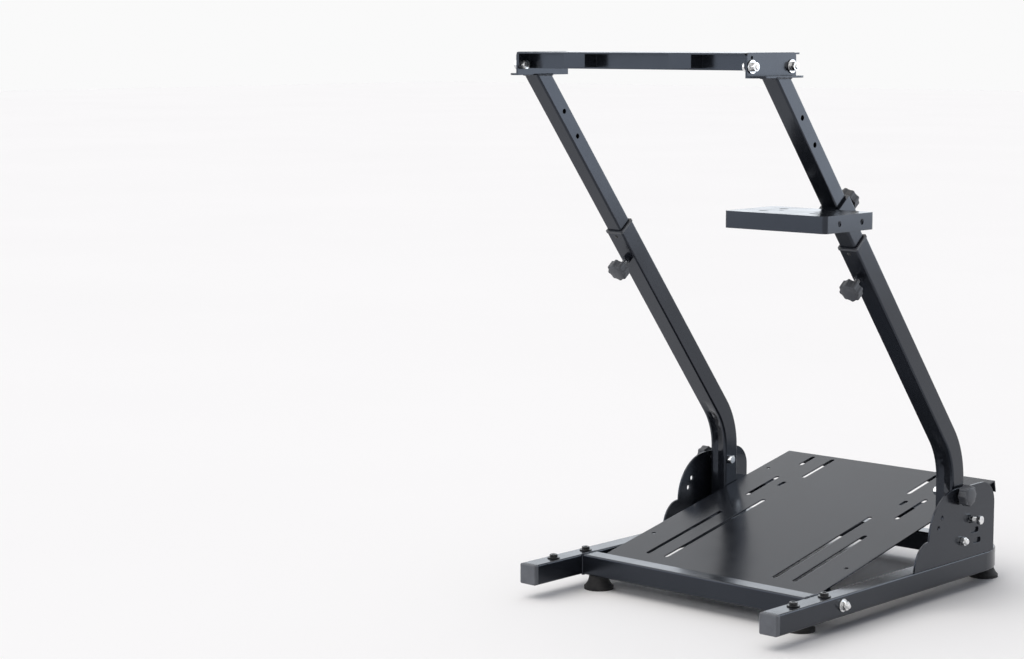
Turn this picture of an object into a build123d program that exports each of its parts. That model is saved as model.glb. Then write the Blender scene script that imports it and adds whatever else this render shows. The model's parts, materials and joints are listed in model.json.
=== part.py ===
"""Folding racing wheel stand of square steel tube, in millimetres, +Z up.

Sizes are measured from the stand's symmetry plane (x), from the open front ends of its base (y)
and from the floor (z).  The part's origin is on the floor, below the middle of the whole stand.
"""

import os
from math import asin, cos, degrees, radians, sin, sqrt, tan

from build123d import *

os.makedirs("parts", exist_ok=True)

# Base frame
base_width = 508.0
base_length = 668.0
tube = 33.0
tube_wall = 1.5
tube_corner = 3.0
bend_radius = 75.0
foot_height = 23.0
foot_base_radius = 24.0
foot_top_radius = 16.0
foot_rim = 5.0
foot_waist_radius = 18.2
foot_waist_height = 12.5
front_foot_inset = 21.0
crossbar_y = 115.0
cap_thickness = 8.0
cap_plug_length = 14.0
cap_round = 2.5
plug_clearance = 0.15
frame_bolt_y = (63.0, 142.0)
frame_bolt_radius = 4.0
frame_bolt_flange = 10.0
frame_bolt_flange_height = 2.0
frame_bolt_head = 6.5
frame_bolt_head_height = 4.5
frame_bolt_shank = 12.0

# Side brackets and fold
plate = 3.0
pivot_lead = 34.0
pivot_rise = 30.0
bracket_radius = 76.0
bracket_lead = 21.0
bracket_lift = 12.0
bracket_toe = 40.0
bracket_notch_rise = 2.0
bracket_rear = 96.0
bracket_rear_round = 38.0
pivot_radius = 5.0
running_clearance = 0.05
lock_radius = 77.0
lock_screw_past = 4.5
lock_angles = (4.0, -9.5, 52.5, 66.0)
support_slot_length = 24.0
support_slot_width = 9.0
support_slot_lead = 4.0
support_slot_pitch = 18.0
support_slot_lean = 7.0

# Uprights
upright = 33.0
upright_gap = 6.0
lean = 38.5
upright_bend_height = 225.5
upright_bend_radius = 120.0
upright_foot = 20.0
bend_dent_width = 20.0
bend_dent_depth = 1.0
sleeve_length = 458.0
rise_tube = 28.0
rise_insert = 110.0
bush_rim = 4.0
bush_rim_proud = 0.8
bush_depth = 24.0
bush_clearance = 0.3
height_knob_drop = 54.0
height_stud_show = 12.0
rise_hole_radius = 4.0
rise_hole_drop = 96.0
rise_hole_pitch = 51.0

# Wheel plate and its brackets
deck_height = 833.5
deck_overhang = 2.0
deck_depth = 177.0
deck_inset = 10.5
deck_rise = 35.5
deck_sheet = 2.5
deck_rear_chamfer = 46.0
deck_wall_inset = 27.0
deck_wall_height = 25.0
deck_lip = 14.0
deck_tab_x = 101.0
deck_tab_width = 42.0
deck_slot_length = 34.0
deck_slot_width = 7.0
deck_slots = ((84.0, 83.5), (33.0, 107.5))
top_bracket_length = 117.0
top_bracket_height = 36.0
top_bracket_round = 6.0
top_foot_width = 25.0
top_foot_round = 18.0
top_slot_length = 13.0
top_slot_width = 7.0
deck_bolt_inset = 11.0
deck_bolt_rise = 16.0
deck_bolt_radius = 4.0
deck_pin_radius = 2.5
deck_pin_rise = 13.0

# Pedal plate
pedal_gap = 10.5
pedal_front = 153.0
pedal_front_height = 49.0
pedal_length = 526.0
pedal_incline = 11.7
pedal_sheet = 2.0
pedal_flange = 20.0
pedal_ear_length = 42.0
pedal_ear_drop = 24.0
pedal_ear_round = 14.0
pedal_bend = 1.8
pedal_bolt_along = 12.0
pedal_bolt_drop = 10.5
pedal_bolt_radius = 4.0
pedal_slot_width = 8.0
pedal_slots = (
    (108.0, 37.0, 309.0),
    (146.0, 37.0, 238.0),
    (151.0, 316.0, 409.0),
    (124.0, 371.0, 392.0),
    (107.0, 420.0, 514.0),
    (148.5, 470.0, 514.0),
)
pedal_hole_inset = 17.5
pedal_hole_along = (113.0, 437.0)
pedal_hole_radius = 3.5
support_along = 386.0
support_drop = 10.8
support_boss_radius = 6.0
support_bolt_show = 8.0
support_width = 26.0
support_depth = 22.0
support_sheet = 2.5
support_tab_width = 44.0
support_tab_depth = 56.0

# Shifter tray
tray_width = 180.0
tray_depth = 121.0
tray_lift = 7.5
tray_flange = 25.0
tray_sheet = 2.0
tray_corner = 6.0
tray_setback = 39.5
tray_bolt_along = (34.0, 90.0)
tray_slot_length = 16.0
tray_slot_width = 6.5
tray_slot_pitch_x = 90.0
tray_slot_pitch_y = 50.0
tray_hole_pitch = 62.0
tray_hole_radius = 3.5
collar_wall = 4.0
collar_length = 40.0
collar_clearance = 0.3
collar_rise = 62.0
collar_arm_width = 36.0
collar_arm_height = 29.0

# Knobs and fasteners
knob_radius = 17.5
knob_core_radius = 15.6
knob_lobes = 8
knob_lobe_radius = 4.2
knob_lobe_blend = 1.6
knob_height = 14.0
knob_neck = 4.0
knob_neck_radius = 8.0
knob_skirt_radius = 11.0
knob_round = 2.0
stud_radius = 4.0
nut_radius = 7.5
nut_height = 7.0
bolt_end = 4.0
washer_radius = 10.0
washer = 2.0
hex_sides = 6
seat_gap = 0.3
hole_clearance = 0.1

# Places worked out from the sizes above
tube_x = base_width / 2 - tube / 2
tube_z = foot_height + tube / 2
tube_top = foot_height + tube
pivot_z = tube_top + pivot_rise
bracket_out = base_width / 2
bracket_in = bracket_out - plate
lean_sin = sin(radians(lean))
lean_cos = cos(radians(lean))
pedal_sin = sin(radians(pedal_incline))
pedal_cos = cos(radians(pedal_incline))
support_y = pedal_front + support_along * pedal_cos + support_drop * pedal_sin
support_z = pedal_front_height + support_along * pedal_sin - support_drop * pedal_cos
pivot_y = support_y - pivot_lead
upright_x = bracket_in - upright_gap - upright / 2
upright_in = upright_x - upright / 2
upright_out = upright_x + upright / 2
pedal_half_width = base_width / 2 - tube - pedal_gap
pedal_hole_x = pedal_half_width - pedal_hole_inset
deck_half_width = upright_x - deck_inset
top_bracket_mid = pivot_y - (deck_height - upright_bend_height) * tan(radians(lean))
top_bracket_front = top_bracket_mid - top_bracket_length / 2
deck_front = top_bracket_front - deck_overhang
collar_along = sleeve_length + collar_rise
tray_rear = pivot_y - collar_along * lean_sin - tray_setback
tray_height = upright_bend_height + collar_along * lean_cos + tray_lift
knob_reach = bracket_out + seat_gap + knob_neck + knob_height
tray_reach = upright_x + tray_width / 2
shift_x = (knob_reach - tray_reach) / 2
shift_y = -(base_length + deck_front) / 2
sides = (("left", -1), ("right", 1))


def at(x, y, z):
    """A point of the stand in the part's own frame."""
    return (x + shift_x, y + shift_y, z)


def side_plane(x):
    """Upright plane at x, with sketch axes pointing to the rear and up, facing the right."""
    return Plane(origin=at(x, 0, 0), x_dir=(0, 1, 0), z_dir=(1, 0, 0))


def level_plane(z):
    """Level plane at height z, facing up."""
    return Plane(origin=at(0, 0, z), x_dir=(1, 0, 0), z_dir=(0, 0, 1))


def lean_point(along, out=0.0):
    """Rearward and upward place of a point along the leaning axis, `out` towards its rear face."""
    return (
        pivot_y - along * lean_sin + out * lean_cos,
        upright_bend_height + along * lean_cos + out * lean_sin,
    )


def lean_section(x, along):
    """Plane across a leaning tube, facing up along it, with its sketch y to the rear."""
    return Plane(origin=at(x, *lean_point(along)), x_dir=(1, 0, 0), z_dir=(0, -lean_sin, lean_cos))


def lean_face(x, along, out, facing):
    """Plane on a leaning tube's front (facing -1) or rear (facing 1) face, pointing out of it."""
    return Plane(
        origin=at(x, *lean_point(along, out)),
        x_dir=(1, 0, 0),
        z_dir=(0, facing * lean_cos, facing * lean_sin),
    )


def pedal_point(along, rise):
    """Rearward and upward place of a point of the inclined pedal plate."""
    return (
        pedal_front + along * pedal_cos - rise * pedal_sin,
        pedal_front_height + along * pedal_sin + rise * pedal_cos,
    )


def pedal_side(x):
    """Upright plane at x, with sketch axes along and square to the pedal plate."""
    return Plane(
        origin=at(x, pedal_front, pedal_front_height),
        x_dir=(0, pedal_cos, pedal_sin),
        z_dir=(1, 0, 0),
    )


def cross_axis(side, x, y, z):
    """Plane square to the stand's width, facing away from the symmetry plane on its side."""
    return Plane(origin=at(side * x, y, z), x_dir=(0, side, 0), z_dir=(side, 0, 0))


def save(piece, name):
    piece.part.label = name
    export_step(piece.part, f"parts/{name}.step")


def make_stacks(planes, discs):
    """Turned fasteners: on each plane, discs given as start, length, radius and number of sides."""
    with BuildPart() as stacks:
        for plane in planes:
            for start, length, radius, corners in discs:
                with BuildSketch(plane.offset(start)):
                    if corners:
                        RegularPolygon(radius, corners)
                    else:
                        Circle(radius)
                extrude(amount=length)
    return stacks


def make_knob(plane, stud_length):
    """Lobed clamping knob whose neck rests on the plane, with its stud going through it."""
    with BuildPart() as knob:
        with BuildSketch(plane.offset(knob_neck)) as grip:
            Circle(knob_core_radius)
            with PolarLocations(knob_radius - knob_lobe_radius, knob_lobes):
                Circle(knob_lobe_radius)
            fillet(grip.vertices(), knob_lobe_blend)
        extrude(amount=knob_height)
        fillet(knob.faces().sort_by(Axis(plane.origin, plane.z_dir))[-1].edges(), knob_round)
        with BuildSketch(plane.offset(knob_neck)):
            Circle(knob_skirt_radius)
        with BuildSketch(plane):
            Circle(knob_neck_radius)
        loft()
        with BuildSketch(plane.offset(-stud_length)):
            Circle(stud_radius)
        extrude(amount=stud_length)
    return knob


# Bent base tube, open to the front
pedal_bolt_y, pedal_bolt_z = pedal_point(pedal_bolt_along, -pedal_bolt_drop)
with BuildPart() as base_frame:
    with BuildLine(level_plane(tube_z)) as base_path:
        FilletPolyline(
            (tube_x, cap_thickness),
            (tube_x, base_length - tube / 2),
            (-tube_x, base_length - tube / 2),
            (-tube_x, cap_thickness),
            radius=bend_radius,
        )
    with BuildSketch(Plane(origin=base_path.line @ 0, x_dir=(1, 0, 0), z_dir=(0, 1, 0))):
        RectangleRounded(tube, tube, tube_corner)
        RectangleRounded(
            tube - 2 * tube_wall, tube - 2 * tube_wall, tube_corner - tube_wall, mode=Mode.SUBTRACT
        )
    sweep(path=base_path.line)
    with BuildSketch(level_plane(tube_z)):
        with Locations(*[(s * tube_x, y) for _, s in sides for y in frame_bolt_y]):
            Circle(frame_bolt_radius + hole_clearance)
    extrude(amount=tube, mode=Mode.SUBTRACT)
    with BuildSketch(side_plane(-base_width / 2)):
        with Locations((pedal_bolt_y, pedal_bolt_z)):
            Circle(pedal_bolt_radius + hole_clearance)
    extrude(amount=base_width, mode=Mode.SUBTRACT)
save(base_frame, "base_frame")

# Straight crossbar welded between the side tubes
crossbar_length = base_width - 2 * tube
with BuildPart() as front_crossbar:
    with BuildSketch(side_plane(-crossbar_length / 2)):
        with Locations((crossbar_y + tube / 2, tube_z)):
            RectangleRounded(tube, tube, tube_corner)
            RectangleRounded(
                tube - 2 * tube_wall, tube - 2 * tube_wall, tube_corner - tube_wall, mode=Mode.SUBTRACT
            )
    extrude(amount=crossbar_length)
save(front_crossbar, "front_crossbar")

# Plastic caps in the open tube ends
for name, side in sides:
    with BuildPart() as end_cap:
        front = Plane(origin=at(side * tube_x, 0, tube_z), x_dir=(1, 0, 0), z_dir=(0, 1, 0))
        with BuildSketch(front):
            RectangleRounded(tube, tube, tube_corner)
        extrude(amount=cap_thickness)
        fillet(end_cap.faces().sort_by(Axis.Y)[0].edges(), cap_round)
        plug = tube - 2 * tube_wall - 2 * plug_clearance
        with BuildSketch(front.offset(cap_thickness)):
            RectangleRounded(plug, plug, tube_corner - tube_wall)
        extrude(amount=cap_plug_length)
    save(end_cap, f"{name}_end_cap")

# Bell-shaped rubber feet, two below the crossbar and two below the rear bends
bend_middle = bend_radius * (1 - sqrt(0.5))
foot_places = {
    "front": (tube_x - tube / 2 - front_foot_inset, crossbar_y + tube / 2),
    "rear": (tube_x - bend_middle, base_length - tube / 2 - bend_middle),
}
for row, (foot_x, foot_y) in foot_places.items():
    for name, side in sides:
        with BuildPart() as foot:
            axis_plane = Plane(origin=at(side * foot_x, foot_y, 0), x_dir=(1, 0, 0), z_dir=(0, -1, 0))
            with BuildSketch(axis_plane):
                with BuildLine():
                    Polyline((0, foot_height), (0, 0), (foot_base_radius, 0), (foot_base_radius, foot_rim))
                    flank = Line((foot_top_radius, foot_height), (0, foot_height))
                    ThreePointArc(
                        (foot_base_radius, foot_rim), (foot_waist_radius, foot_waist_height), flank @ 0
                    )
                make_face()
            revolve(axis=Axis(axis_plane.origin, (0, 0, 1)))
        save(foot, f"{row}_{name}_foot")

# Flanged bolts on top of the side tubes
bolt_places = [
    Plane(origin=at(side * tube_x, y, tube_top), x_dir=(1, 0, 0), z_dir=(0, 0, 1))
    for _, side in sides
    for y in frame_bolt_y
]
frame_bolts = make_stacks(
    bolt_places,
    (
        (-frame_bolt_shank, frame_bolt_shank, frame_bolt_radius, 0),
        (0, frame_bolt_flange_height, frame_bolt_flange, 0),
        (frame_bolt_flange_height, frame_bolt_head_height, frame_bolt_head, 0),
    ),
)
save(frame_bolts, "frame_bolts")

# Side brackets: a round plate about the fold pivot with a toe in front, holes for the fold lock
# and three slots that set the slope of the pedal plate
crown_y = pivot_y - bracket_lead
crown_z = pivot_z + bracket_lift
notch_y = crown_y - sqrt(bracket_radius**2 - bracket_notch_rise**2)
notch_z = crown_z + bracket_notch_rise
notch_angle = 180 - degrees(asin(bracket_notch_rise / bracket_radius))
bracket_top = crown_z + bracket_radius
rear_y = pivot_y + bracket_rear
lock_places = [
    (pivot_y - lock_radius * sin(radians(angle)), pivot_z + lock_radius * cos(radians(angle)))
    for angle in lock_angles
]
lock_y, lock_z = lock_places[0]
first_slot_y = support_y - support_slot_lead
for name, side in sides:
    with BuildPart() as bracket:
        with BuildSketch(side_plane(bracket_in if side > 0 else -bracket_out)) as outline:
            with BuildLine():
                toe_height = notch_z - tube_top
                CenterArc((crown_y, crown_z), bracket_radius, 90, notch_angle - 90)
                EllipticalCenterArc(
                    (notch_y, tube_top), bracket_toe, toe_height, start_angle=90, arc_size=90
                )
                Polyline(
                    (notch_y - bracket_toe, tube_top),
                    (rear_y, tube_top),
                    (rear_y, bracket_top - bracket_rear_round),
                )
                CenterArc(
                    (rear_y - bracket_rear_round, bracket_top - bracket_rear_round), bracket_rear_round, 0, 90
                )
                Line((rear_y - bracket_rear_round, bracket_top), (crown_y, bracket_top))
            make_face()
            with Locations((pivot_y, pivot_z)):
                Circle(pivot_radius + hole_clearance, mode=Mode.SUBTRACT)
            with Locations(*lock_places):
                Circle(stud_radius + running_clearance, mode=Mode.SUBTRACT)
            slot_places = [
                (first_slot_y + row * support_slot_lean, support_z - row * support_slot_pitch)
                for row in range(3)
            ]
            with Locations(*slot_places):
                SlotOverall(support_slot_length, support_slot_width, mode=Mode.SUBTRACT)
        extrude(amount=plate)
    save(bracket, f"{name}_bracket")

# Pedal plate: a folded sheet, low in front, slotted for the pedal set
with BuildPart() as pedal_plate:
    with BuildSketch(pedal_side(-pedal_half_width)) as fold:
        with BuildLine():
            Polyline(
                (0, -pedal_flange),
                (0, 0),
                (pedal_length, 0),
                (pedal_length, -pedal_flange),
                (pedal_length - pedal_sheet, -pedal_flange),
                (pedal_length - pedal_sheet, -pedal_sheet),
                (pedal_sheet, -pedal_sheet),
                (pedal_sheet, -pedal_flange),
                close=True,
            )
        make_face()
        fillet(fold.vertices().group_by(Axis.Y)[-1], pedal_bend)
    extrude(amount=2 * pedal_half_width)
    for _, side in sides:
        ear_x = pedal_half_width - pedal_sheet if side > 0 else -pedal_half_width
        with BuildSketch(pedal_side(ear_x)) as ear:
            with Locations((pedal_sheet, -pedal_sheet)):
                Rectangle(pedal_ear_length, pedal_ear_drop, align=(Align.MIN, Align.MAX))
            fillet(ear.vertices().sort_by(Axis.X)[-2:].sort_by(Axis.Y)[0], pedal_ear_round)
            with Locations((pedal_bolt_along, -pedal_bolt_drop)):
                Circle(pedal_bolt_radius + hole_clearance, mode=Mode.SUBTRACT)
        extrude(amount=pedal_sheet)
    top = Plane(
        origin=at(0, pedal_front, pedal_front_height), x_dir=(1, 0, 0), z_dir=(0, -pedal_sin, pedal_cos)
    )
    with BuildSketch(top):
        for _, side in sides:
            for slot_x, start, end in pedal_slots:
                with Locations((side * slot_x, (start + end) / 2)):
                    SlotOverall(end - start, pedal_slot_width, rotation=90)
            with Locations(*[(side * pedal_hole_x, along) for along in pedal_hole_along]):
                Circle(pedal_hole_radius)
    extrude(amount=-pedal_sheet, mode=Mode.SUBTRACT)
save(pedal_plate, "pedal_plate")

# Channel that carries the pedal plate's rear, with end tabs behind the brackets' slots
with BuildPart() as pedal_support_bar:
    with BuildSketch(pedal_side(-bracket_in)):
        with Locations((support_along, -pedal_sheet)):
            Rectangle(support_width, support_depth, align=(Align.CENTER, Align.MAX))
    extrude(amount=2 * bracket_in)
    with BuildSketch(pedal_side(-bracket_in + support_sheet)):
        with Locations((support_along, -pedal_sheet - support_sheet)):
            Rectangle(support_width - 2 * support_sheet, support_depth, align=(Align.CENTER, Align.MAX))
    extrude(amount=2 * (bracket_in - support_sheet), mode=Mode.SUBTRACT)
    for tab_x in (-bracket_in, bracket_in - support_sheet):
        with BuildSketch(pedal_side(tab_x)):
            with Locations((support_along, -pedal_sheet)):
                Rectangle(support_tab_width, support_tab_depth, align=(Align.CENTER, Align.MAX))
        extrude(amount=support_sheet)
    with BuildSketch(side_plane(-bracket_in)):
        with Locations((support_y, support_z)):
            Circle(pedal_bolt_radius + hole_clearance)
    extrude(amount=2 * bracket_in, mode=Mode.SUBTRACT)
save(pedal_support_bar, "pedal_support_bar")

# Bolts across the base: pedal plate front, pedal support and fold pivots
ear_gap = base_width / 2 - tube - pedal_half_width
ear_in = tube + ear_gap + pedal_sheet
pedal_bolts = make_stacks(
    [cross_axis(side, base_width / 2, pedal_bolt_y, pedal_bolt_z) for _, side in sides],
    (
        (0, washer, washer_radius, 0),
        (washer, nut_height, nut_radius, hex_sides),
        (washer + nut_height, bolt_end, pedal_bolt_radius, 0),
        (-ear_in, ear_in, pedal_bolt_radius, 0),
        (-tube - ear_gap, ear_gap, nut_radius, 0),
        (-ear_in - nut_height, nut_height, nut_radius, hex_sides),
    ),
)
save(pedal_bolts, "pedal_bolts")

support_in = plate + support_sheet
support_bolts = make_stacks(
    [cross_axis(side, bracket_out, support_y, support_z) for _, side in sides],
    (
        (-support_in, support_in + support_bolt_show, pedal_bolt_radius, 0),
        (support_bolt_show, nut_height, nut_radius, hex_sides),
        (-support_in - nut_height, nut_height, support_boss_radius, 0),
    ),
)
save(support_bolts, "support_bolts")

spacer = bracket_in - upright_out - seat_gap
pivot_in = bracket_out - upright_in + seat_gap
pivot_bolts = make_stacks(
    [cross_axis(side, bracket_out, pivot_y, pivot_z) for _, side in sides],
    (
        (0, nut_height, nut_radius, hex_sides),
        (nut_height, bolt_end, pivot_radius, 0),
        (-pivot_in, pivot_in, pivot_radius, 0),
        (-plate - spacer, spacer, washer_radius, 0),
        (-pivot_in - nut_height, nut_height, nut_radius, hex_sides),
    ),
)
save(pivot_bolts, "pivot_bolts")

# Fold lock knobs outside the brackets
for name, side in sides:
    fold_knob = make_knob(cross_axis(side, bracket_out + seat_gap, lock_y, lock_z), plate + lock_screw_past)
    save(fold_knob, f"{name}_fold_knob")

# Lower uprights: bent square tubes, pressed in at the bend, that turn on the pivots
bend_drop = upright_bend_radius * tan(radians(lean / 2))


def bend_point(turn, depth):
    """A point on the hollow front face of the bend, `turn` degrees up it and `depth` into the wall."""
    reach = upright_bend_radius - upright / 2 + depth
    return (
        pivot_y - upright_bend_radius + reach * cos(radians(turn)),
        upright_bend_height - bend_drop + reach * sin(radians(turn)),
    )


knob_along = sleeve_length - height_knob_drop
sleeve_inner = upright - 2 * tube_wall
for name, side in sides:
    with BuildPart() as lower_upright:
        with BuildLine(side_plane(side * upright_x)) as upright_path:
            FilletPolyline(
                (pivot_y, pivot_z - upright_foot),
                (pivot_y, upright_bend_height),
                lean_point(sleeve_length),
                radius=upright_bend_radius,
            )
        with BuildSketch(Plane(origin=upright_path.line @ 0, x_dir=(1, 0, 0), z_dir=(0, 0, 1))):
            RectangleRounded(upright, upright, tube_corner)
            RectangleRounded(sleeve_inner, sleeve_inner, tube_corner - tube_wall, mode=Mode.SUBTRACT)
        sweep(path=upright_path.line)
        with BuildSketch(side_plane(side * upright_x - upright / 2)):
            with Locations((pivot_y, pivot_z)):
                Circle(pivot_radius + running_clearance)
            with Locations((lock_y, lock_z)):
                Circle(stud_radius + hole_clearance)
        extrude(amount=upright, mode=Mode.SUBTRACT)
        with BuildSketch(lean_face(side * upright_x, knob_along, -upright / 2, -1)):
            Circle(stud_radius + running_clearance)
        extrude(amount=-upright / 2, mode=Mode.SUBTRACT)
        with BuildSketch(side_plane(side * upright_x - bend_dent_width / 2)):
            with BuildLine():
                ThreePointArc(*[bend_point(turn, 0) for turn in (0, lean / 2, lean)])
                ThreePointArc(
                    bend_point(0, 0), bend_point(lean / 2, bend_dent_depth), bend_point(lean, 0)
                )
            make_face()
        extrude(amount=bend_dent_width, mode=Mode.SUBTRACT)
    save(lower_upright, f"{name}_lower_upright")

# Plastic bushes in the sleeve tops
bush_inner = rise_tube + 2 * bush_clearance
bush_outer = sleeve_inner - 2 * plug_clearance
for name, side in sides:
    with BuildPart() as sleeve_bush:
        with BuildSketch(lean_section(side * upright_x, sleeve_length)):
            RectangleRounded(upright + 2 * bush_rim_proud, upright + 2 * bush_rim_proud, tube_corner)
        extrude(amount=bush_rim)
        with BuildSketch(lean_section(side * upright_x, sleeve_length - bush_depth)):
            RectangleRounded(bush_outer, bush_outer, tube_corner - tube_wall)
        extrude(amount=bush_depth)
        with BuildSketch(lean_section(side * upright_x, sleeve_length - bush_depth)):
            RectangleRounded(bush_inner, bush_inner, tube_corner - tube_wall)
        extrude(amount=bush_depth + bush_rim, mode=Mode.SUBTRACT)
    save(sleeve_bush, f"{name}_sleeve_bush")

# Lock screw ends through the lower uprights
lock_nuts = make_stacks(
    [cross_axis(side, upright_in, lock_y, lock_z) for _, side in sides],
    (
        (0, upright, stud_radius, 0),
        (-nut_height, nut_height, nut_radius, hex_sides),
    ),
)
save(lock_nuts, "lock_nuts")

# Nuts welded to the sleeves, and the knobs that clamp the height
with BuildPart() as height_nuts:
    for _, side in sides:
        with BuildSketch(lean_face(side * upright_x, knob_along, -upright / 2, -1)):
            RegularPolygon(nut_radius, hex_sides)
            Circle(stud_radius + running_clearance, mode=Mode.SUBTRACT)
        extrude(amount=nut_height)
save(height_nuts, "height_nuts")
for name, side in sides:
    height_knob = make_knob(
        lean_face(side * upright_x, knob_along, -upright / 2 - nut_height - height_stud_show, -1),
        height_stud_show + nut_height + tube_wall,
    )
    save(height_knob, f"{name}_height_knob")

# Rising tubes, cut level below the wheel plate's brackets
rise_start = sleeve_length - rise_insert
rise_end = (deck_height - upright_bend_height + rise_tube * lean_sin) / lean_cos
rise_inner = rise_tube - 2 * tube_wall
for name, side in sides:
    with BuildPart() as upper_tube:
        with BuildSketch(lean_section(side * upright_x, rise_start)):
            RectangleRounded(rise_tube, rise_tube, tube_corner)
            RectangleRounded(rise_inner, rise_inner, tube_corner - tube_wall, mode=Mode.SUBTRACT)
        extrude(amount=rise_end - rise_start)
        split(bisect_by=level_plane(deck_height), keep=Keep.BOTTOM)
        holes_along = [rise_end - rise_hole_drop - row * rise_hole_pitch for row in range(2)]
        with BuildSketch(side_plane(side * upright_x - rise_tube / 2)):
            with Locations(*[lean_point(along) for along in holes_along]):
                Circle(rise_hole_radius)
        extrude(amount=rise_tube, mode=Mode.SUBTRACT)
    save(upper_tube, f"{name}_upper_tube")

# Angle brackets on top of the rising tubes
deck_bolt_ys = (top_bracket_front + deck_bolt_inset, top_bracket_front + top_bracket_length - deck_bolt_inset)
deck_bolt_z = deck_height + deck_bolt_rise
deck_top = deck_height + deck_rise
for name, side in sides:
    with BuildPart() as top_bracket:
        with BuildSketch(level_plane(deck_height)) as foot_plate:
            foot_x = deck_half_width + top_foot_width / 2
            with Locations((side * foot_x, top_bracket_mid)):
                Rectangle(top_foot_width, top_bracket_length)
            fillet(foot_plate.vertices().sort_by(Axis.X if side < 0 else -Axis.X)[:2], top_foot_round)
            slot_offset = top_bracket_length / 2 - deck_bolt_inset
            with Locations(*[(side * foot_x, top_bracket_mid + end * slot_offset) for end in (-1, 1)]):
                SlotOverall(top_slot_length, top_slot_width, mode=Mode.SUBTRACT)
        extrude(amount=plate)
        with BuildSketch(side_plane(deck_half_width if side > 0 else -deck_half_width - plate)) as wall:
            with Locations((top_bracket_mid, deck_height)):
                Rectangle(top_bracket_length, top_bracket_height, align=(Align.CENTER, Align.MIN))
            fillet(wall.vertices().group_by(Axis.Y)[-1], top_bracket_round)
            with Locations(*[(y, deck_bolt_z) for y in deck_bolt_ys]):
                Circle(deck_bolt_radius + hole_clearance, mode=Mode.SUBTRACT)
            with Locations((deck_bolt_ys[0], deck_bolt_z + deck_pin_rise)):
                Circle(deck_pin_radius, mode=Mode.SUBTRACT)
        extrude(amount=plate)
    save(top_bracket, f"{name}_top_bracket")

# Wheel plate: a sheet with chamfered rear corners, folded front wall, clamp tabs and side flanges
deck_wall_y = deck_front + deck_wall_inset
with BuildPart() as wheel_plate:
    with BuildSketch(level_plane(deck_top)) as sheet:
        with Locations((0, deck_front)):
            Rectangle(2 * deck_half_width, deck_depth, align=(Align.CENTER, Align.MIN))
        chamfer(sheet.vertices().group_by(Axis.Y)[-1], deck_rear_chamfer)
        for _, side in sides:
            with Locations(*[(side * x, deck_front + back) for x, back in deck_slots]):
                SlotOverall(deck_slot_length, deck_slot_width, mode=Mode.SUBTRACT)
    extrude(amount=-deck_sheet)
    with BuildSketch(side_plane(-deck_half_width)):
        with BuildLine():
            Polyline(
                (deck_wall_y, deck_top - deck_sheet),
                (deck_wall_y, deck_top - deck_wall_height),
                (deck_wall_y + deck_lip, deck_top - deck_wall_height),
                (deck_wall_y + deck_lip, deck_top - deck_wall_height + deck_sheet),
                (deck_wall_y + deck_sheet, deck_top - deck_wall_height + deck_sheet),
                (deck_wall_y + deck_sheet, deck_top - deck_sheet),
                close=True,
            )
        make_face()
    extrude(amount=2 * deck_half_width)
    with BuildSketch(level_plane(deck_top - deck_sheet)):
        with Locations(*[(side * deck_tab_x, deck_front) for _, side in sides]):
            Rectangle(deck_tab_width, deck_wall_inset, align=(Align.CENTER, Align.MIN))
        with Locations(*[(side * deck_tab_x, deck_front + deck_sheet) for _, side in sides]):
            Rectangle(
                deck_tab_width - 2 * deck_sheet,
                deck_wall_inset - deck_sheet,
                align=(Align.CENTER, Align.MIN),
                mode=Mode.SUBTRACT,
            )
    extrude(amount=-(deck_wall_height - 2 * deck_sheet))
    for _, side in sides:
        flange_x = deck_half_width - deck_sheet if side > 0 else -deck_half_width
        with BuildSketch(side_plane(flange_x)) as flange:
            with Locations((top_bracket_mid, deck_top - deck_sheet)):
                Rectangle(
                    top_bracket_length, deck_wall_height - deck_sheet, align=(Align.CENTER, Align.MAX)
                )
            fillet(flange.vertices().group_by(Axis.Y)[0], top_bracket_round)
            with Locations(*[(y, deck_bolt_z) for y in deck_bolt_ys]):
                Circle(deck_bolt_radius + hole_clearance, mode=Mode.SUBTRACT)
        extrude(amount=deck_sheet)
save(wheel_plate, "wheel_plate")

deck_bolt_in = plate + deck_sheet
wheel_plate_bolts = make_stacks(
    [
        cross_axis(side, deck_half_width + plate, y, deck_bolt_z)
        for _, side in sides
        for y in deck_bolt_ys
    ],
    (
        (0, washer, washer_radius, 0),
        (washer, nut_height, nut_radius, hex_sides),
        (washer + nut_height, washer, deck_bolt_radius, 0),
        (-deck_bolt_in, deck_bolt_in, deck_bolt_radius, 0),
        (-deck_bolt_in - nut_height, nut_height, nut_radius, hex_sides),
    ),
)
save(wheel_plate_bolts, "wheel_plate_bolts")

# Shifter tray: a shallow pressed pan, open below, with slots for the shifter
tray_mid = tray_rear - tray_depth / 2
tray_bolt_ys = [tray_rear - tray_depth + along for along in tray_bolt_along]
tray_bolt_z = tray_height - tray_flange / 2
with BuildPart() as shifter_tray:
    with BuildSketch(level_plane(tray_height)):
        with Locations((upright_x, tray_mid)):
            RectangleRounded(tray_width, tray_depth, tray_corner)
    extrude(amount=-tray_flange)
    offset(amount=-tray_sheet, openings=shifter_tray.faces().sort_by(Axis.Z)[0])
    with BuildSketch(level_plane(tray_height)):
        with Locations((upright_x, tray_mid)):
            with GridLocations(tray_slot_pitch_x, tray_slot_pitch_y, 2, 2):
                SlotOverall(tray_slot_length, tray_slot_width)
            with GridLocations(tray_hole_pitch, 0, 2, 1):
                Circle(tray_hole_radius)
    extrude(amount=-tray_sheet, mode=Mode.SUBTRACT)
    with BuildSketch(side_plane(upright_x - tray_width / 2)):
        with Locations(*[(y, tray_bolt_z) for y in tray_bolt_ys]):
            Circle(stud_radius + hole_clearance)
    extrude(amount=tray_width, mode=Mode.SUBTRACT)
save(shifter_tray, "shifter_tray")

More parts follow.
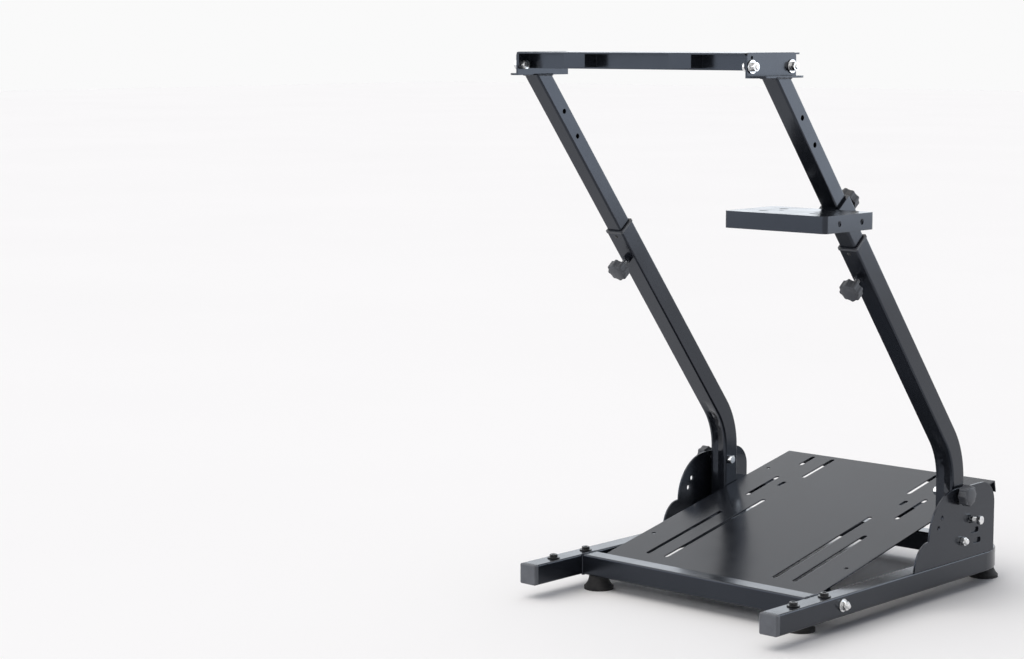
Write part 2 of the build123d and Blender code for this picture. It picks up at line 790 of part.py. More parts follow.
tray_bolts = make_stacks(
    [cross_axis(-1, tray_width / 2 - upright_x, y, tray_bolt_z) for y in tray_bolt_ys],
    (
        (0, nut_height, nut_radius, hex_sides),
        (-tray_sheet, tray_sheet, stud_radius, 0),
        (-tray_sheet - nut_height, nut_height, nut_radius, hex_sides),
    ),
)
save(tray_bolts, "tray_bolts")

# Collar that slides on the right rising tube and carries the tray
collar_inner = rise_tube + 2 * collar_clearance
collar_outer = collar_inner + 2 * collar_wall
arm_half = collar_arm_height / 2
with BuildPart() as shifter_clamp:
    with BuildSketch(lean_section(upright_x, collar_along - collar_length / 2)):
        RectangleRounded(collar_outer, collar_outer, tube_corner)
    extrude(amount=collar_length)
    with BuildSketch(side_plane(upright_x - collar_arm_width / 2)):
        with BuildLine():
            Polyline(
                lean_point(collar_along + arm_half, 0),
                lean_point(collar_along + arm_half, -collar_outer / 2),
                (tray_rear, tray_height - tray_sheet),
                (tray_rear, tray_height - tray_flange + tray_sheet),
                lean_point(collar_along - arm_half, -collar_outer / 2),
                lean_point(collar_along - arm_half, 0),
                close=True,
            )
        make_face()
    extrude(amount=collar_arm_width)
    with BuildSketch(lean_section(upright_x, collar_along - collar_length / 2)):
        RectangleRounded(collar_inner, collar_inner, tube_corner - tube_wall)
    extrude(amount=collar_length, mode=Mode.SUBTRACT)
    with BuildSketch(lean_face(upright_x, collar_along, 0, 1)):
        Circle(stud_radius + running_clearance)
    extrude(amount=collar_outer, mode=Mode.SUBTRACT)
save(shifter_clamp, "shifter_clamp")

shifter_knob = make_knob(
    lean_face(upright_x, collar_along, collar_outer / 2 + seat_gap, 1), collar_wall + seat_gap
)
save(shifter_knob, "shifter_knob")
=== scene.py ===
"""Looks of the folding racing wheel stand: finishes, fine fittings, studio light and camera."""

import json
import math
from typing import NamedTuple

import bmesh
import bpy
from mathutils import Matrix, Vector


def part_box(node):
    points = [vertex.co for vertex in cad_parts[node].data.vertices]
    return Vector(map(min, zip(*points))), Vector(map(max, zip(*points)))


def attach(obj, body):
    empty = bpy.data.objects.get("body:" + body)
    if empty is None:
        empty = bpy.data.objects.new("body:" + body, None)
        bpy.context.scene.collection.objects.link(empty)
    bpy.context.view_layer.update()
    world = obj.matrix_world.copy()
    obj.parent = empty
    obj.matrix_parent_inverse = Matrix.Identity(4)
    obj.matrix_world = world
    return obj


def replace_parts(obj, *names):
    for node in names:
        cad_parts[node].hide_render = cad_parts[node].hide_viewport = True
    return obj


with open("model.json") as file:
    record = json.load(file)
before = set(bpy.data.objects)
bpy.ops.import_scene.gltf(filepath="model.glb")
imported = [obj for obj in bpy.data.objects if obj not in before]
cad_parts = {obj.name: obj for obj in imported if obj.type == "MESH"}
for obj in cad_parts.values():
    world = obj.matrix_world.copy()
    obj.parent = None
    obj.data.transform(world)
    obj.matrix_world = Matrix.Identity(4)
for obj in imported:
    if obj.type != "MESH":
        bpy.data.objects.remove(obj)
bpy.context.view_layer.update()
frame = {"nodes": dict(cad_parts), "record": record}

RECORD = frame["record"]
JOINTS = {joint["name"]: joint for joint in RECORD["behaviour"]["joints"]}
BODIES = {node: body for body, nodes in RECORD["behaviour"]["bodies"].items() for node in nodes}

# Photograph's frame and the camera that was fitted to it
IMAGE_WIDTH = 1024
FOCAL_PIXELS = 2327.8
SENSOR_WIDTH = 36.0
CLIP_END = 200.0
CAMERA_PLACE = Vector((2.1938, -3.0008, 0.8939))
CAMERA_AZIMUTH = math.radians(42.764)
CAMERA_ELEVATION = math.radians(7.197)
CAMERA_ROLL = math.radians(-0.073)

# Bolts across the stand, from tip to head: kind, length and radius in metres of each section.
# The section with the length REST takes up what the others leave of the bolt.
NUT_HEIGHT = 0.007
NUT_RADIUS = 0.0075
NUT = ("hex", NUT_HEIGHT, NUT_RADIUS)
WASHER = ("disc", 0.002, 0.010)
REST = None
BOLT_SETS = {
    "pedal_bolts": (
        ("thread", 0.004, 0.004),
        NUT,
        WASHER,
        ("disc", REST, 0.004),
        ("disc", 0.0105, 0.0075),
        ("disc", 0.002, 0.004),
        NUT,
    ),
    "support_bolts": (
        NUT,
        ("thread", 0.008, 0.004),
        ("disc", REST, 0.004),
        ("disc", 0.007, 0.006),
    ),
    "pivot_bolts": (
        ("thread", 0.004, 0.005),
        NUT,
        ("disc", 0.003, 0.005),
        ("disc", 0.0057, 0.010),
        ("disc", REST, 0.005),
        NUT,
    ),
    "wheel_plate_bolts": (
        ("thread", 0.002, 0.004),
        NUT,
        WASHER,
        ("disc", REST, 0.004),
        NUT,
    ),
    "lock_nuts": (("disc", REST, 0.004), NUT),
    "tray_bolts": (NUT, ("disc", REST, 0.004), NUT),
}

# Other fine fittings, in metres
ROUND_STEPS = 48
NUT_CHAMFER = 0.0013
NUT_FACE_SHARE = 0.95
DISC_CHAMFER = 0.0003
THREAD_PITCH = 0.00125
THREAD_DEPTH = 0.0006
THREAD_STEPS = 6
BOLT_FLANGE_HEIGHT = 0.002
BOLT_FLANGE_RADIUS = 0.010
BOLT_HEAD_RADIUS = 0.0065
BOLT_HEAD_CHAMFER = 0.0007
BOLT_SOCKET_RADIUS = 0.0036
BOLT_SOCKET_DEPTH = 0.003
BOLT_SHANK_RADIUS = 0.004
BEAD_RADIUS = 0.0016
BEAD_RIPPLE = 0.0022
BEAD_STEP = 0.0011
BEAD_SIDES = 8
BEAD_SWELL = 0.16
BEAD_UNEVEN = 0.08
BEAD_UNEVEN_RATE = 0.47
BEAD_WANDER = 0.7
BEAD_WANDER_RATE = 0.31
DOME_STEPS = 6
RIVET_RISE = 0.047
RIVET_RADIUS = 0.0032
RIVET_HEIGHT = 0.0013
RIVET_SINK = 0.0001
KNOB_CAP_RADIUS = 0.0138
KNOB_CAP_HEIGHT = 0.0022
KNOB_CAP_SINK = 0.0002
STUD_RADIUS = 0.0041
STUD_LENGTH = 0.012
MERGE_DISTANCE = 1e-6
RIM_TOLERANCE = 1e-5
SIDES = ("left", "right")
KNOB_JOINTS = {
    "left_fold_knob_turn": "left_fold_knob",
    "right_fold_knob_turn": "right_fold_knob",
    "left_height_knob_turn": "left_height_knob",
    "right_height_knob_turn": "right_height_knob",
    "shifter_knob_turn": "shifter_knob",
}

# Angles in degrees above which an edge of a piece stays sharp
FASTENER_SHARP = 35.0
DOME_SHARP = 60.0
BEAD_SHARP = 80.0

# Noise between these values is spread over the whole range of a finish
NOISE_LOW = 0.3
NOISE_HIGH = 0.7
NOISE_ROUGHNESS = 0.55
BEVEL_SAMPLES = 4

# Uneven folds in the dents of the uprights' bends, in metres
PRESS_HALF_WIDTH = 0.011
PRESS_HEIGHT = 0.195
PRESS_REACH = 0.075
PRESS_SCALE = 46.0
PRESS_DETAIL = 1.0
PRESS_EVENNESS = 0.4
PRESS_STRENGTH = 1.0
PRESS_DEPTH = 0.9

# Studio floor and surround
FLOOR_SIZE = 60.0
FLOOR_COLOUR = (0.93, 0.93, 0.93)
FLOOR_SHADE = 0.985
FLOOR_TONE_SCALE = 0.6
FLOOR_TONE_DETAIL = 3.0
FLOOR_ROUGHNESS = 0.9
WORLD_BRIGHT = (0.95, 0.975, 1.03, 1)
WORLD_DIM = (0.20, 0.21, 0.24, 1)
WORLD_BRIGHT_EDGE = -0.35
WORLD_DIM_EDGE = 0.75
BACKDROP = (0.955, 0.955, 0.955, 1)

# Lights: a softbox has a place, an aim, a size in metres and its watts
SUN_STRENGTH = 1.24
SUN_COLOUR = (1.0, 0.92, 0.82)
SUN_ANGLE = math.radians(75)
SUN_TRAVEL = (0.25, 0.35, -1.0)
SOFTBOX_COLOUR = (0.78, 0.88, 1.0)
SOFTBOXES = {
    "key_light": ((-2.0, -2.2, 2.6), (0.0, 0.0, 0.45), (1.8, 1.8), 9.0),
    "side_panel": ((1.45, 2.1, 1.2), (0.1, 0.1, 1.0), (2.2, 1.6), 24.0),
    "front_panel": ((-2.6, -3.1, 1.1), (0.0, -0.1, 0.7), (2.6, 1.6), 17.0),
    "back_panel": ((-2.6, 3.4, 1.15), (0.0, 0.0, 0.2), (3.6, 1.1), 11.0),
}


class Finish(NamedTuple):
    """Colours, gloss and grain of a finish; its noise scales are per metre."""

    dark: tuple
    pale: tuple
    tone_scale: float
    gloss_scale: float
    smooth: float
    rough: float
    grain_scale: float
    grain_strength: float
    grain_depth: float
    edge_radius: float
    tone_detail: float = 3.0
    gloss_detail: float = 4.0
    grain_detail: float = 4.0
    metallic: float = 0.0
    specular: float = 0.5
    tint: tuple = (1.0, 1.0, 1.0, 1.0)


# Satin black paint with a fine pebbled skin and faint changes of tone and gloss
POWDER_COAT = Finish(
    dark=(0.007, 0.008, 0.0105),
    pale=(0.011, 0.0125, 0.016),
    tone_scale=7.0,
    gloss_scale=22.0,
    smooth=0.17,
    rough=0.24,
    grain_scale=1100.0,
    grain_detail=2.0,
    grain_strength=0.03,
    grain_depth=0.0004,
    edge_radius=0.0009,
    tint=(0.74, 0.82, 0.98, 1.0),
)

# Bright zinc plate with fine turning marks and a faint uneven bloom
ZINC = Finish(
    dark=(0.60, 0.61, 0.63),
    pale=(0.80, 0.80, 0.79),
    tone_scale=180.0,
    gloss_scale=900.0,
    smooth=0.2,
    rough=0.36,
    grain_scale=900.0,
    grain_strength=0.12,
    grain_depth=0.0003,
    edge_radius=0.0005,
    metallic=1.0,
)

# Blackened bolt steel, a little oily
BLACK_OXIDE = Finish(
    dark=(0.010, 0.0105, 0.012),
    pale=(0.022, 0.0225, 0.025),
    tone_scale=160.0,
    gloss_scale=700.0,
    smooth=0.2,
    rough=0.34,
    grain_scale=700.0,
    grain_strength=0.1,
    grain_depth=0.0003,
    edge_radius=0.0005,
    metallic=0.3,
)

# Moulded black plastic with a fine spark-eroded grain, and the paler one of the end caps
PLASTIC = Finish(
    dark=(0.046, 0.049, 0.057),
    pale=(0.062, 0.066, 0.076),
    tone_scale=60.0,
    gloss_scale=1600.0,
    gloss_detail=2.0,
    smooth=0.42,
    rough=0.58,
    grain_scale=1600.0,
    grain_detail=2.0,
    grain_strength=0.22,
    grain_depth=0.0003,
    edge_radius=0.0008,
)
CAP_PLASTIC = PLASTIC._replace(dark=(0.080, 0.085, 0.097), pale=(0.105, 0.111, 0.125))

# Dull black rubber with moulding dust
RUBBER = Finish(
    dark=(0.014, 0.014, 0.015),
    pale=(0.034, 0.033, 0.033),
    tone_scale=90.0,
    tone_detail=5.0,
    gloss_scale=1300.0,
    gloss_detail=3.0,
    smooth=0.66,
    rough=0.86,
    grain_scale=1300.0,
    grain_detail=3.0,
    grain_strength=0.3,
    grain_depth=0.0004,
    edge_radius=0.0008,
    specular=0.35,
)


def base_middle():
    """Middle of the base from left to right."""
    return sum(corner.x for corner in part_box("base_frame")) / 2


def new_material(name):
    """A node material with its shader and the position in the object's own metres."""
    material = bpy.data.materials.new(name)
    material.use_nodes = True
    nodes = material.node_tree.nodes
    shader = nodes["Principled BSDF"]
    place = nodes.new("ShaderNodeTexCoord").outputs["Object"]
    return material, nodes, material.node_tree.links, shader, place


def add_noise(nodes, links, place, scale, detail):
    noise = nodes.new("ShaderNodeTexNoise")
    noise.inputs["Scale"].default_value = scale
    noise.inputs["Detail"].default_value = detail
    noise.inputs["Roughness"].default_value = NOISE_ROUGHNESS
    links.new(place, noise.inputs["Vector"])
    return noise.outputs["Fac"]


def add_range(nodes, links, value, low, high):
    """Spreads a noise value over low..high."""
    spread = nodes.new("ShaderNodeMapRange")
    spread.inputs["From Min"].default_value = NOISE_LOW
    spread.inputs["From Max"].default_value = NOISE_HIGH
    spread.inputs["To Min"].default_value = low
    spread.inputs["To Max"].default_value = high
    links.new(value, spread.inputs["Value"])
    return spread.outputs["Result"]


def add_mix(nodes, links, value, low, high):
    """Blends two colours by a noise value."""
    ramp = nodes.new("ShaderNodeValToRGB")
    ramp.color_ramp.elements[0].position = NOISE_LOW
    ramp.color_ramp.elements[0].color = (*low, 1)
    ramp.color_ramp.elements[1].position = NOISE_HIGH
    ramp.color_ramp.elements[1].color = (*high, 1)
    links.new(value, ramp.inputs["Fac"])
    return ramp.outputs["Color"]


def add_round_edges(nodes, radius):
    """A normal that is rounded over sharp edges."""
    bevel = nodes.new("ShaderNodeBevel")
    bevel.samples = BEVEL_SAMPLES
    bevel.inputs["Radius"].default_value = radius
    return bevel.outputs["Normal"]


def add_bump(nodes, links, height, strength, distance, normal):
    """Bump from a height, over another normal."""
    bump = nodes.new("ShaderNodeBump")
    bump.inputs["Strength"].default_value = strength
    bump.inputs["Distance"].default_value = distance
    links.new(height, bump.inputs["Height"])
    links.new(normal, bump.inputs["Normal"])
    return bump.outputs["Normal"]


def add_math(nodes, links, operation, first, second=0.0):
    """Result of an operation on two values, each a socket or a number."""
    step = nodes.new("ShaderNodeMath")
    step.operation = operation
    for socket, value in zip(step.inputs, (first, second)):
        if isinstance(value, float):
            socket.default_value = value
        else:
            links.new(value, socket)
    return step.outputs["Value"]


def add_press_marks(nodes, links, place, skin):
    """Uneven folds that bending leaves in the uprights' dents, over the skin's normal."""

    def step(operation, first, second=0.0):
        return add_math(nodes, links, operation, first, second)

    low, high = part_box("right_lower_upright")
    middle = base_middle()
    axes = nodes.new("ShaderNodeSeparateXYZ")
    links.new(place, axes.inputs["Vector"])
    reach = step("ABSOLUTE", step("SUBTRACT", axes.outputs["X"], middle))
    across = step("ABSOLUTE", step("SUBTRACT", reach, (low.x + high.x) / 2 - middle))
    dish = step("MAXIMUM", step("SUBTRACT", PRESS_HALF_WIDTH, across))
    along = step("ABSOLUTE", step("SUBTRACT", axes.outputs["Z"], PRESS_HEIGHT))
    fade = step("MAXIMUM", step("SUBTRACT", 1.0, step("DIVIDE", along, PRESS_REACH)))
    folds = add_noise(nodes, links, place, PRESS_SCALE, PRESS_DETAIL)
    depth = step("MULTIPLY", dish, step("ADD", folds, PRESS_EVENNESS))
    height = step("MULTIPLY", step("MULTIPLY", depth, fade), -1.0)
    return add_bump(nodes, links, height, PRESS_STRENGTH, PRESS_DEPTH, skin)


def make_finish(name, finish, pressed=False):
    """A material whose tone, gloss and grain come from noise, with or without the press marks."""
    material, nodes, links, shader, place = new_material(name)
    tone = add_noise(nodes, links, place, finish.tone_scale, finish.tone_detail)
    colour = add_mix(nodes, links, tone, finish.dark, finish.pale)
    links.new(colour, shader.inputs["Base Color"])
    gloss = add_noise(nodes, links, place, finish.gloss_scale, finish.gloss_detail)
    roughness = add_range(nodes, links, gloss, finish.smooth, finish.rough)
    links.new(roughness, shader.inputs["Roughness"])
    grain = add_noise(nodes, links, place, finish.grain_scale, finish.grain_detail)
    edges = add_round_edges(nodes, finish.edge_radius)
    skin = add_bump(nodes, links, grain, finish.grain_strength, finish.grain_depth, edges)
    if pressed:
        skin = add_press_marks(nodes, links, place, skin)
    links.new(skin, shader.inputs["Normal"])
    shader.inputs["Metallic"].default_value = finish.metallic
    shader.inputs["Specular IOR Level"].default_value = finish.specular
    shader.inputs["Specular Tint"].default_value = finish.tint
    return material


def make_floor_paint():
    """Plain pale studio floor."""
    material, nodes, links, shader, place = new_material("studio_floor")
    tone = add_noise(nodes, links, place, FLOOR_TONE_SCALE, FLOOR_TONE_DETAIL)
    shaded = tuple(FLOOR_SHADE * c for c in FLOOR_COLOUR)
    colour = add_mix(nodes, links, tone, shaded, FLOOR_COLOUR)
    links.new(colour, shader.inputs["Base Color"])
    shader.inputs["Roughness"].default_value = FLOOR_ROUGHNESS
    shader.inputs["Specular IOR Level"].default_value = 0.0
    return material


FINISHES = {
    "powder_coat": make_finish("powder_coat", POWDER_COAT),
    "zinc": make_finish("zinc", ZINC),
    "blackened_bolts": make_finish("blackened_bolts", BLACK_OXIDE),
    "black_plastic": make_finish("black_plastic", PLASTIC),
    "rubber": make_finish("rubber", RUBBER),
}
PRESSED_FINISH = make_finish("pressed_powder_coat", POWDER_COAT, pressed=True)
CAP_FINISH = make_finish("cap_plastic", CAP_PLASTIC)
OWN_FINISHES = {
    "left_lower_upright": PRESSED_FINISH,
    "right_lower_upright": PRESSED_FINISH,
    "left_end_cap": CAP_FINISH,
    "right_end_cap": CAP_FINISH,
}


def dress_frame():
    """Gives every node of the frame its own finish, or else the finish of its slot."""
    slots = {part["node"]: part["material_slot"] for part in RECORD["subparts"]}
    for name, node in frame["nodes"].items():
        node.data.materials.clear()
        node.data.materials.append(OWN_FINISHES.get(name, FINISHES[slots[name]]))


def axis_matrix(origin, axis):
    """Places a local +Z along axis at origin."""
    turn = Vector((0, 0, 1)).rotation_difference(Vector(axis)).to_matrix().to_4x4()
    return Matrix.Translation(Vector(origin)) @ turn


def add_rings(work, matrix, rings):
    """Skins rings round a local Z, each giving radius and height by angle, and closes both ends."""
    rows = []
    for ring in rings:
        row = []
        for step in range(ROUND_STEPS):
            angle = math.tau * step / ROUND_STEPS
            radius, height = ring(angle)
            local = Vector((radius * math.cos(angle), radius * math.sin(angle), height))
            row.append(work.verts.new(matrix @ local))
        rows.append(row)
    for low, high in zip(rows, rows[1:]):
        for step in range(ROUND_STEPS):
            after = (step + 1) % ROUND_STEPS
            work.faces.new((low[step], low[after], high[after], high[step]))
    work.faces.new(rows[0][::-1])
    work.faces.new(rows[-1])


def circle_ring(radius, height):
    return lambda angle: (radius, height)


def hex_reach(radius, angle):
    """Distance of a hexagon's outline from its middle, for its corner radius."""
    sixth = math.tau / 6
    return radius * math.cos(sixth / 2) / math.cos((angle + sixth / 2) % sixth - sixth / 2)


def hex_ring(radius, height, corner_drop=0.0):
    """A hexagon whose corners are lowered by a chamfer cone."""
    inner = radius * math.cos(math.tau / 12)

    def ring(angle):
        reach = hex_reach(radius, angle)
        return reach, height - corner_drop * (reach - inner) / (radius - inner)

    return ring


def add_hex(work, matrix, low, high, radius):
    """Hexagon nut with chamfered corners."""
    face = radius * math.cos(math.tau / 12) * NUT_FACE_SHARE
    rings = [
        circle_ring(face, low),
        hex_ring(radius, low, -NUT_CHAMFER),
        hex_ring(radius, high, NUT_CHAMFER),
        circle_ring(face, high),
    ]
    add_rings(work, matrix, rings)


def add_disc(work, matrix, low, high, radius):
    """Round section with chamfered rims."""
    rings = [
        circle_ring(radius - DISC_CHAMFER, low),
        circle_ring(radius, low + DISC_CHAMFER),
        circle_ring(radius, high - DISC_CHAMFER),
        circle_ring(radius - DISC_CHAMFER, high),
    ]
    add_rings(work, matrix, rings)


def thread_ring(radius, height, end):
    """One ring of a screw's skin, tapered at its free end."""

    def ring(angle):
        phase = (height / THREAD_PITCH + angle / math.tau) % 1.0
        depth = THREAD_DEPTH * abs(2 * phase - 1)
        taper = max(0.0, THREAD_PITCH - (end - height))
        return radius - max(depth, taper), height

    return ring


def add_thread(work, matrix, low, high, radius):
    """Screw thread with its free end at the high end."""
    count = max(2, round((high - low) / THREAD_PITCH * THREAD_STEPS))
    heights = [low + (high - low) * step / count for step in range(count + 1)]
    add_rings(work, matrix, [thread_ring(radius, height, high) for height in heights])


ADDERS = {"hex": add_hex, "disc": add_disc, "thread": add_thread}


def bead_radius(index):
    """Radius of a weld bead at one of its steps, with its ripples and its unevenness."""
    ripple = math.tau * index * BEAD_STEP / BEAD_RIPPLE
    swell = 1 + BEAD_SWELL * math.sin(ripple + BEAD_WANDER * math.sin(index * BEAD_WANDER_RATE))
    return BEAD_RADIUS * swell * (1 + BEAD_UNEVEN * math.sin(index * BEAD_UNEVEN_RATE))


def add_bead(work, points, closed=False):
    """Rippled weld bead along a chain of points."""
    ends = points + points[:1] if closed else points
    places = []
    for start, end in zip(ends, ends[1:]):
        count = max(1, round((end - start).length / BEAD_STEP))
        places += [start.lerp(end, step / count) for step in range(count)]
    if not closed:
        places.append(ends[-1])
    angles = [math.tau * side / BEAD_SIDES for side in range(BEAD_SIDES)]
    rows = []
    for index, place in enumerate(places):
        before = places[index - 1] if index or closed else place
        last = index + 1 == len(places)
        after = place if last and not closed else places[(index + 1) % len(places)]
        turn = axis_matrix(place, (after - before).normalized())
        radius = bead_radius(index)
        ring = [turn @ Vector((radius * math.cos(a), radius * math.sin(a), 0)) for a in angles]
        rows.append([work.verts.new(point) for point in ring])
    pairs = list(zip(rows, rows[1:]))
    if closed:
        pairs.append((rows[-1], rows[0]))
    for low, high in pairs:
        for side in range(BEAD_SIDES):
            after = (side + 1) % BEAD_SIDES
            work.faces.new((low[side], low[after], high[after], high[side]))
    if not closed:
        work.faces.new(rows[0][::-1])
        work.faces.new(rows[-1])


def make_piece(name, work, body, slot_name, sharp=FASTENER_SHARP):
    """Turns the worked mesh into a finished piece that rides a body."""
    bmesh.ops.recalc_face_normals(work, faces=work.faces)
    mesh = bpy.data.meshes.new(name)
    work.to_mesh(mesh)
    work.free()
    mesh.polygons.foreach_set("use_smooth", [True] * len(mesh.polygons))
    mesh.set_sharp_from_angle(angle=math.radians(sharp))
    mesh.materials.append(FINISHES[slot_name])
    piece = bpy.data.objects.new(name, mesh)
    bpy.context.scene.collection.objects.link(piece)
    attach(piece, body)
    return piece


def solid_boxes(name):
    """Boxes of the separate solids in a node."""
    work = bmesh.new()
    work.from_mesh(frame["nodes"][name].data)
    bmesh.ops.remove_doubles(work, verts=work.verts, dist=MERGE_DISTANCE)
    left = set(work.verts)
    boxes = []
    while left:
        todo = [left.pop()]
        found = []
        while todo:
            vert = todo.pop()
            found.append(vert.co.copy())
            near = {edge.other_vert(vert) for edge in vert.link_edges} & left
            left -= near
            todo += near
        low = Vector([min(co[axis] for co in found) for axis in range(3)])
        high = Vector([max(co[axis] for co in found) for axis in range(3)])
        boxes.append((low, high))
    work.free()
    return boxes


def add_bolt_sets():
    """Zinc bolts across the stand, with chamfered nuts, washers and threaded ends."""
    middle = base_middle()
    for name, sections in BOLT_SETS.items():
        work = bmesh.new()
        for low, high in solid_boxes(name):
            centre = (low + high) / 2
            facing = -1 if name == "tray_bolts" or centre.x < middle else 1
            tip = high.x if facing > 0 else low.x
            matrix = axis_matrix((tip, centre.y, centre.z), (facing, 0, 0))
            rest = high.x - low.x - sum(length for _, length, _ in sections if length)
            top = 0.0
            for kind, length, radius in sections:
                bottom = top - (length or rest)
                ADDERS[kind](work, matrix, bottom, top, radius)
                top = bottom
        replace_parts(make_piece(f"{name}_detail", work, BODIES[name], "zinc"), name)


def add_height_nuts():
    """Painted nuts on the sleeves that take the height knobs' studs."""
    work = bmesh.new()
    for side in SIDES:
        joint = JOINTS[f"{side}_height_knob_turn"]
        matrix = axis_matrix(joint["pos_m"], joint["axis"])
        add_hex(work, matrix, 0.0, NUT_HEIGHT, NUT_RADIUS)
    piece = make_piece("height_nuts_detail", work, BODIES["height_nuts"], "powder_coat")
    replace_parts(piece, "height_nuts")


def add_height_studs():
    """Zinc threads of the height knobs, where they show between nut and knob."""
    for side in SIDES:
        joint = JOINTS[f"{side}_height_knob_turn"]
        work = bmesh.new()
        matrix = axis_matrix(joint["pos_m"], joint["axis"])
        add_thread(work, matrix, NUT_HEIGHT, NUT_HEIGHT + STUD_LENGTH, STUD_RADIUS)
        make_piece(f"{side}_height_stud", work, BODIES[f"{side}_height_knob"], "zinc")


def add_frame_bolts():
    """Black flanged bolts with hexagon sockets on the side tubes."""
    tube_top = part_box("base_frame")[1].z
    work = bmesh.new()
    for low, high in solid_boxes("frame_bolts"):
        centre = (low + high) / 2
        matrix = axis_matrix((centre.x, centre.y, tube_top), (0, 0, 1))
        add_disc(work, matrix, low.z - tube_top, 0.0, BOLT_SHANK_RADIUS)
        add_disc(work, matrix, 0.0, BOLT_FLANGE_HEIGHT, BOLT_FLANGE_RADIUS)
        top = high.z - tube_top
        rings = [
            circle_ring(BOLT_HEAD_RADIUS, BOLT_FLANGE_HEIGHT),
            circle_ring(BOLT_HEAD_RADIUS, top - BOLT_HEAD_CHAMFER),
            circle_ring(BOLT_HEAD_RADIUS - BOLT_HEAD_CHAMFER, top),
            hex_ring(BOLT_SOCKET_RADIUS, top),
            hex_ring(BOLT_SOCKET_RADIUS, top - BOLT_SOCKET_DEPTH),
        ]
        add_rings(work, matrix, rings)
    piece = make_piece("frame_bolts_detail", work, BODIES["frame_bolts"], "blackened_bolts")
    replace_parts(piece, "frame_bolts")


def dome_rings(radius, rise, base):
    """A low dome on a height, as rings."""
    steps = [math.pi / 2 * step / DOME_STEPS for step in range(DOME_STEPS)]
    return [circle_ring(radius * math.cos(a), base + rise * math.sin(a)) for a in steps]


def add_knob_caps():
    """Smooth domed faces on the clamping knobs."""
    for joint_name, node in KNOB_JOINTS.items():
        joint = JOINTS[joint_name]
        place = Vector(joint["pos_m"])
        axis = Vector(joint["axis"]).normalized()
        face = max((vert.co - place).dot(axis) for vert in frame["nodes"][node].data.vertices)
        rings = dome_rings(KNOB_CAP_RADIUS, KNOB_CAP_HEIGHT, face - KNOB_CAP_SINK)
        work = bmesh.new()
        add_rings(work, axis_matrix(place, axis), rings)
        make_piece(f"{node}_cap", work, BODIES[node], "black_plastic", DOME_SHARP)


def add_rivets():
    """Rivet that keeps the bush in each sleeve."""
    up = Vector(JOINTS["height"]["axis"])
    for side in SIDES:
        joint = JOINTS[f"{side}_height_knob_turn"]
        place = Vector(joint["pos_m"]) + up * RIVET_RISE
        rings = dome_rings(RIVET_RADIUS, RIVET_HEIGHT, -RIVET_SINK)
        work = bmesh.new()
        add_rings(work, axis_matrix(place, joint["axis"]), rings)
        make_piece(f"{side}_sleeve_rivet", work, "uprights", "blackened_bolts", DOME_SHARP)


def add_base_welds():
    """Painted weld beads at the crossbar's ends and below the brackets."""
    low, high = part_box("front_crossbar")
    corners = ((low.y, low.z), (high.y, low.z), (high.y, high.z), (low.y, high.z))
    work = bmesh.new()
    for x in (low.x, high.x):
        add_bead(work, [Vector((x, y, z)) for y, z in corners], closed=True)
    for side, edge in (("left", 1), ("right", 0)):
        low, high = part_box(f"{side}_bracket")
        x = (low, high)[edge].x
        front = Vector((x, low.y + BEAD_RADIUS, low.z))
        back = Vector((x, high.y - BEAD_RADIUS, low.z))
        add_bead(work, [front, back])
    make_piece("base_welds", work, "base", "powder_coat", BEAD_SHARP)


def add_deck_welds():
    """Painted weld beads round the rising tubes' tops."""
    work = bmesh.new()
    for side in SIDES:
        node = frame["nodes"][f"{side}_upper_tube"]
        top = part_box(f"{side}_upper_tube")[1].z
        rim = [vert.co for vert in node.data.vertices if top - vert.co.z < RIM_TOLERANCE]
        left, right = min(co.x for co in rim), max(co.x for co in rim)
        front, back = min(co.y for co in rim), max(co.y for co in rim)
        corners = ((left, front), (right, front), (right, back), (left, back))
        add_bead(work, [Vector((x, y, top)) for x, y in corners], closed=True)
    make_piece("deck_welds", work, "deck", "powder_coat", BEAD_SHARP)


def add_camera():
    """Camera at the photograph's place, with its focal length."""
    sin_a, cos_a = math.sin(CAMERA_AZIMUTH), math.cos(CAMERA_AZIMUTH)
    sin_e, cos_e = math.sin(CAMERA_ELEVATION), math.cos(CAMERA_ELEVATION)
    back = Vector((sin_a * cos_e, -cos_a * cos_e, sin_e))
    right = Vector((0, 0, 1)).cross(back).normalized()
    up = back.cross(right)
    aim = Matrix((right, up, back)).transposed().to_4x4()
    roll = Matrix.Rotation(CAMERA_ROLL, 4, "Z")
    camera = bpy.data.objects.new("camera", bpy.data.cameras.new("camera"))
    camera.matrix_world = Matrix.Translation(CAMERA_PLACE) @ aim @ roll
    camera.data.sensor_fit = "HORIZONTAL"
    camera.data.sensor_width = SENSOR_WIDTH
    camera.data.lens = SENSOR_WIDTH * FOCAL_PIXELS / IMAGE_WIDTH
    camera.data.clip_end = CLIP_END
    bpy.context.scene.collection.objects.link(camera)
    bpy.context.scene.camera = camera


def add_floor():
    """Wide plain floor, which is not part of the stand."""
    mesh = bpy.data.meshes.new("studio_floor")
    half = FLOOR_SIZE / 2
    corners = [(-half, -half, 0), (half, -half, 0), (half, half, 0), (-half, half, 0)]
    mesh.from_pydata(corners, [], [(0, 1, 2, 3)])
    mesh.materials.append(make_floor_paint())
    floor = bpy.data.objects.new("studio_floor", mesh)
    bpy.context.scene.collection.objects.link(floor)
    return floor


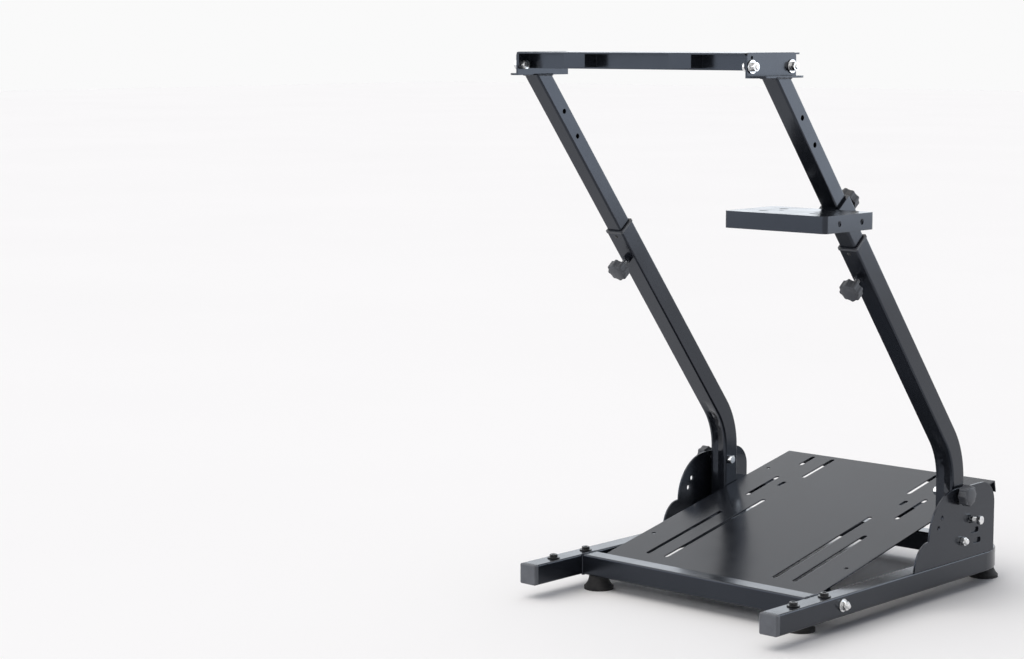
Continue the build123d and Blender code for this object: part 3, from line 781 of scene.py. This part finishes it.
def add_world():
    """Surround that lights from the left and shows as an even pale backdrop."""
    world = bpy.data.worlds.new("studio")
    world.use_nodes = True
    bpy.context.scene.world = world
    nodes, links = world.node_tree.nodes, world.node_tree.links
    direction = nodes.new("ShaderNodeTexCoord").outputs["Generated"]
    axes = nodes.new("ShaderNodeSeparateXYZ")
    links.new(direction, axes.inputs["Vector"])
    ramp = nodes.new("ShaderNodeMapRange")
    ramp.interpolation_type = "SMOOTHSTEP"
    ramp.inputs["From Min"].default_value = WORLD_BRIGHT_EDGE
    ramp.inputs["From Max"].default_value = WORLD_DIM_EDGE
    links.new(axes.outputs["X"], ramp.inputs["Value"])
    blend = nodes.new("ShaderNodeValToRGB")
    blend.color_ramp.elements[0].color = WORLD_BRIGHT
    blend.color_ramp.elements[1].color = WORLD_DIM
    links.new(ramp.outputs["Result"], blend.inputs["Fac"])
    backdrop = nodes.new("ShaderNodeMixRGB")
    backdrop.inputs["Color2"].default_value = BACKDROP
    rays = nodes.new("ShaderNodeLightPath").outputs
    seen = add_math(nodes, links, "MAXIMUM", rays["Is Camera Ray"], rays["Is Glossy Ray"])
    seen = add_math(nodes, links, "MAXIMUM", seen, rays["Is Transmission Ray"])
    links.new(seen, backdrop.inputs["Fac"])
    links.new(blend.outputs["Color"], backdrop.inputs["Color1"])
    links.new(backdrop.outputs["Color"], nodes["Background"].inputs["Color"])


def add_lamp(name, kind, energy, colour, travel):
    """A lamp that shines along a direction."""
    data = bpy.data.lights.new(name, kind)
    data.energy = energy
    data.color = colour
    lamp = bpy.data.objects.new(name, data)
    lamp.rotation_euler = Vector(travel).to_track_quat("-Z", "Y").to_euler()
    bpy.context.scene.collection.objects.link(lamp)
    return lamp


def add_softbox(name, floor):
    """Lights the stand alone; the floor keeps the even light of the sun and the surround."""
    place, aim, size, watts = SOFTBOXES[name]
    lamp = add_lamp(name, "AREA", watts, SOFTBOX_COLOUR, Vector(aim) - Vector(place))
    lamp.location = place
    lamp.data.shape = "RECTANGLE"
    lamp.data.size, lamp.data.size_y = size
    receivers = bpy.data.collections.new(f"{name}_receivers")
    receivers.objects.link(floor)
    receivers.collection_objects[0].light_linking.link_state = "EXCLUDE"
    lamp.light_linking.receiver_collection = receivers
    return lamp


def add_lights(floor):
    """A very soft high sun, three softboxes, and a back panel that shows only as a sheen."""
    sun = add_lamp("sky_light", "SUN", SUN_STRENGTH, SUN_COLOUR, SUN_TRAVEL)
    sun.data.angle = SUN_ANGLE
    lamps = {name: add_softbox(name, floor) for name in SOFTBOXES}
    lamps["back_panel"].visible_diffuse = False


dress_frame()
add_bolt_sets()
add_height_nuts()
add_height_studs()
add_frame_bolts()
add_knob_caps()
add_rivets()
add_base_welds()
add_deck_welds()
add_world()
add_lights(add_floor())
add_camera()
bpy.context.scene.view_settings.view_transform = "Standard"
